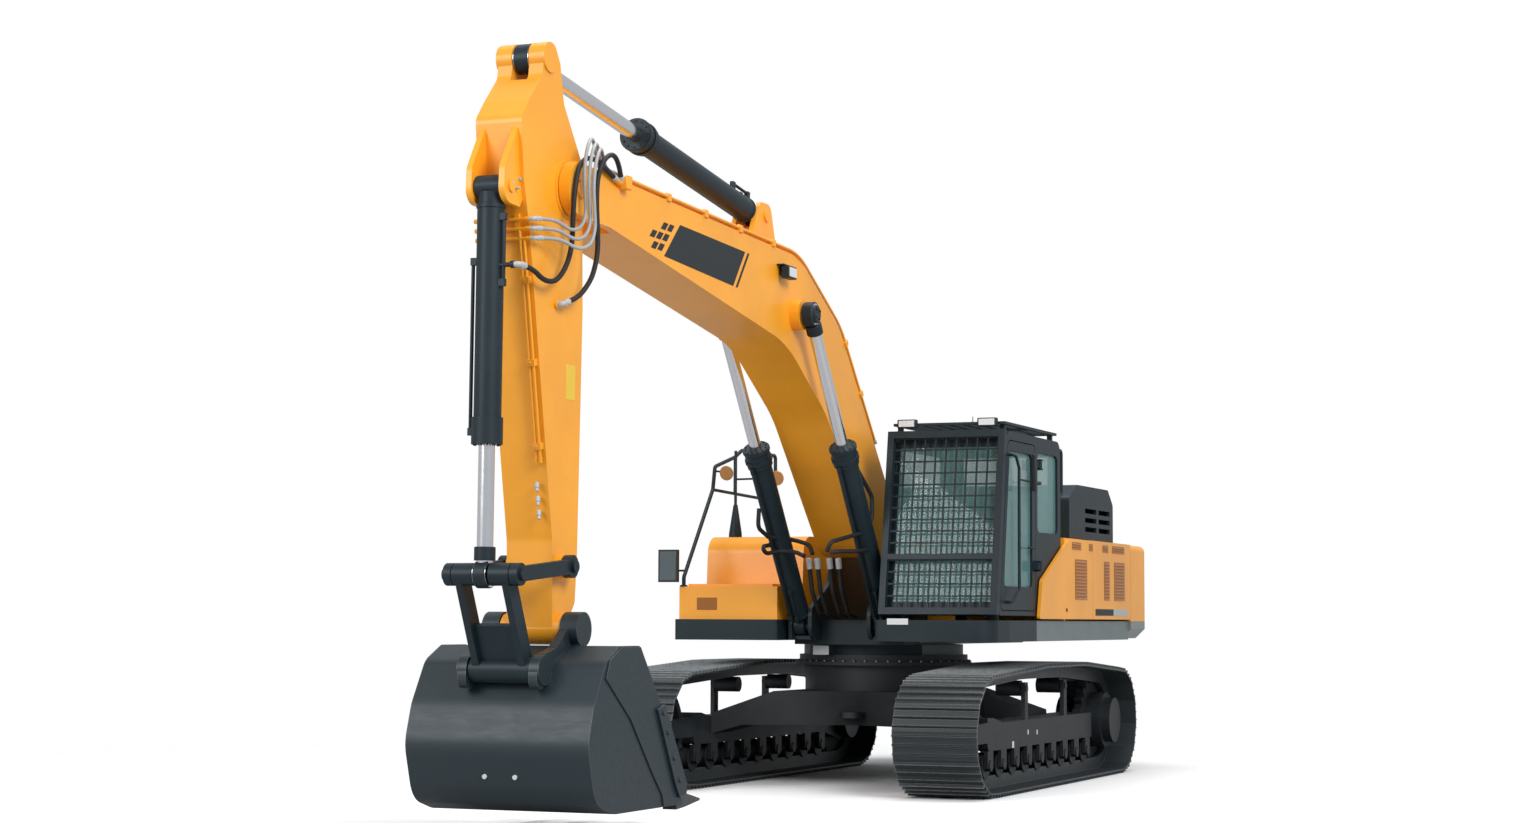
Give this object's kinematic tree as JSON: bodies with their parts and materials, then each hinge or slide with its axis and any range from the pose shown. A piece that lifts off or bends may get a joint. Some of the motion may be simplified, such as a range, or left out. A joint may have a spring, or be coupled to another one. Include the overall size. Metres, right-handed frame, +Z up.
{
  "type": "crawler excavator",
  "caption": "Crawler excavator with a front-guarded cab, bent boom, long arm and toothed bucket on two shoe tracks; its boom, arm, bucket, swing and doors move.",
  "frame": {"origin": "on the ground under the swing axis", "axes": "+X forwards to the bucket, +Y to the left, where the cab is, +Z up"},
  "size_m": [11.1048, 3.29, 5.14],
  "materials": {
    "orange_paint": "satin",
    "dark_paint": "satin",
    "track_steel": "matte",
    "under_paint": "satin",
    "bucket_paint": "satin",
    "tooth_steel": "matte",
    "rod_chrome": "polished",
    "window_glass": "gloss",
    "dark_plastic": "matte",
    "seat_fabric": "matte",
    "engine_iron": "matte"
  },
  "bodies": {
    "undercarriage": {"carbody": "under_paint", "carbody_legs": "under_paint", "slew_ring": "under_paint", "track_frame_left": "under_paint", "track_frame_right": "under_paint", "track_left": "track_steel", "track_right": "track_steel", "idler_left": "under_paint", "idler_right": "under_paint", "sprocket_left": "under_paint", "sprocket_right": "under_paint", "rollers_left": "under_paint", "rollers_right": "under_paint"},
    "upperstructure": {"upper_frame": "dark_paint", "counterweight": "orange_paint", "house": "orange_paint", "tank": "orange_paint", "tool_box": "orange_paint", "engine": "engine_iron", "exhaust_stack": "dark_paint", "right_handrail": "dark_paint", "right_mirror": "dark_plastic", "cab": "dark_paint", "cab_glass": "window_glass", "front_guard": "dark_paint", "roof_guard": "dark_paint", "seat": "seat_fabric", "consoles": "dark_plastic"},
    "cab_door": {"cab_door": "dark_paint", "door_glass": "window_glass"},
    "engine_hood": {"engine_hood": "dark_paint"},
    "left_front_door": {"left_front_door": "orange_paint"},
    "left_rear_door": {"left_rear_door": "orange_paint"},
    "right_rear_door": {"right_rear_door": "orange_paint"},
    "tool_box_lid": {"tool_box_lid": "orange_paint"},
    "boom": {"boom": "orange_paint"},
    "boom_cylinder_barrels": {"boom_cylinder_barrels": "dark_paint"},
    "boom_cylinder_rods": {"boom_cylinder_rods": "rod_chrome"},
    "arm": {"arm": "orange_paint"},
    "arm_cylinder_barrel": {"arm_cylinder_barrel": "dark_paint"},
    "arm_cylinder_rod": {"arm_cylinder_rod": "rod_chrome"},
    "bucket": {"bucket": "bucket_paint", "bucket_teeth": "tooth_steel"},
    "bucket_cylinder_barrel": {"bucket_cylinder_barrel": "dark_paint"},
    "bucket_cylinder_rod": {"bucket_cylinder_rod": "rod_chrome"},
    "arm_links": {"arm_links": "dark_paint"},
    "bucket_link": {"bucket_link": "dark_paint"}
  },
  "joints": [
    {"name": "swing", "type": "hinge", "parent": "undercarriage", "child": "upperstructure", "pos_m": [0, 0, 1.1], "axis": [0, 0, 1], "continuous": true},
    {"name": "boom_lift", "type": "hinge", "parent": "upperstructure", "child": "boom", "pos_m": [0.37, 0, 2.06], "axis": [0, -1, 0], "range_deg": [-50, 45]},
    {"name": "boom_cylinder_pivot", "type": "hinge", "parent": "upperstructure", "child": "boom_cylinder_barrels", "pos_m": [1.01, 0, 1.35], "axis": [0, -1, 0], "range_deg": [-47.69, 42.95]},
    {"name": "boom_cylinder_stroke", "type": "slide", "parent": "boom_cylinder_barrels", "child": "boom_cylinder_rods", "axis": [0.5878, 0, 0.809], "range_m": [-0.764, 0.688]},
    {"name": "arm_pivot", "type": "hinge", "parent": "boom", "child": "arm", "pos_m": [6.65, 0, 4.215], "axis": [0, -1, 0], "range_deg": [-35, 80]},
    {"name": "arm_cylinder_pivot", "type": "hinge", "parent": "boom", "child": "arm_cylinder_barrel", "pos_m": [3.05, 0, 4.56], "axis": [0, -1, 0], "range_deg": [-0.84, 1.54]},
    {"name": "arm_cylinder_stroke", "type": "slide", "parent": "arm_cylinder_barrel", "child": "arm_cylinder_rod", "axis": [0.9925, 0, 0.1222], "range_m": [-1.07, 0.469]},
    {"name": "bucket_tilt", "type": "hinge", "parent": "arm", "child": "bucket", "pos_m": [6.725, 0, 1.33], "axis": [0, -1, 0], "range_deg": [-100, 75]},
    {"name": "arm_link_pivot", "type": "hinge", "parent": "arm", "child": "arm_links", "pos_m": [6.716, 0, 1.735], "axis": [0, -1, 0], "range_deg": [-59.6, 44.77]},
    {"name": "bucket_link_pivot", "type": "hinge", "parent": "bucket", "child": "bucket_link", "pos_m": [7.167, 0, 1.072], "axis": [0, -1, 0], "range_deg": [-47.85, 63.7]},
    {"name": "bucket_cylinder_pivot", "type": "hinge", "parent": "arm", "child": "bucket_cylinder_barrel", "pos_m": [7.415, 0, 4.128], "axis": [0, -1, 0], "range_deg": [-4, 3.07]},
    {"name": "bucket_cylinder_stroke", "type": "slide", "parent": "bucket_cylinder_barrel", "child": "bucket_cylinder_rod", "axis": [0.0122, 0, -0.9999], "range_m": [-0.507, 0.675]},
    {"name": "cab_door_hinge", "type": "hinge", "parent": "upperstructure", "child": "cab_door", "pos_m": [0.492, 1.582, 2.3], "axis": [0, 0, 1], "range_deg": [0, 160]},
    {"name": "left_front_door_hinge", "type": "hinge", "parent": "upperstructure", "child": "left_front_door", "pos_m": [0.478, 1.575, 1.6], "axis": [0, 0, 1], "range_deg": [-100, 0]},
    {"name": "left_rear_door_hinge", "type": "hinge", "parent": "upperstructure", "child": "left_rear_door", "pos_m": [-2.6, 1.575, 1.7], "axis": [0, 0, 1], "range_deg": [0, 100]},
    {"name": "right_rear_door_hinge", "type": "hinge", "parent": "upperstructure", "child": "right_rear_door", "pos_m": [-2.588, -1.447, 1.7], "axis": [0, 0, 1], "range_deg": [-100, 0]},
    {"name": "engine_hood_hinge", "type": "hinge", "parent": "upperstructure", "child": "engine_hood", "pos_m": [-2.602, 0.25, 2.127], "axis": [0, -1, 0], "range_deg": [0, 60]},
    {"name": "tool_box_lid_hinge", "type": "hinge", "parent": "upperstructure", "child": "tool_box_lid", "pos_m": [0.763, -0.956, 1.682], "axis": [0, -1, 0], "range_deg": [0, 80]}
  ],
  "couplings": [
    {"joint": "boom_cylinder_pivot", "follows": "boom_lift", "ratio": 0.9478},
    {"joint": "boom_cylinder_stroke", "follows": "boom_lift", "m_per_rad": 0.8735},
    {"joint": "arm_cylinder_pivot", "follows": "arm_pivot", "ratio": 0.0155},
    {"joint": "arm_cylinder_stroke", "follows": "arm_pivot", "m_per_rad": -0.7648},
    {"joint": "arm_link_pivot", "follows": "bucket_tilt", "ratio": 0.593},
    {"joint": "bucket_link_pivot", "follows": "bucket_tilt", "ratio": -0.634},
    {"joint": "bucket_cylinder_pivot", "follows": "bucket_tilt", "ratio": 0.037},
    {"joint": "bucket_cylinder_stroke", "follows": "bucket_tilt", "m_per_rad": -0.3855}
  ]
}
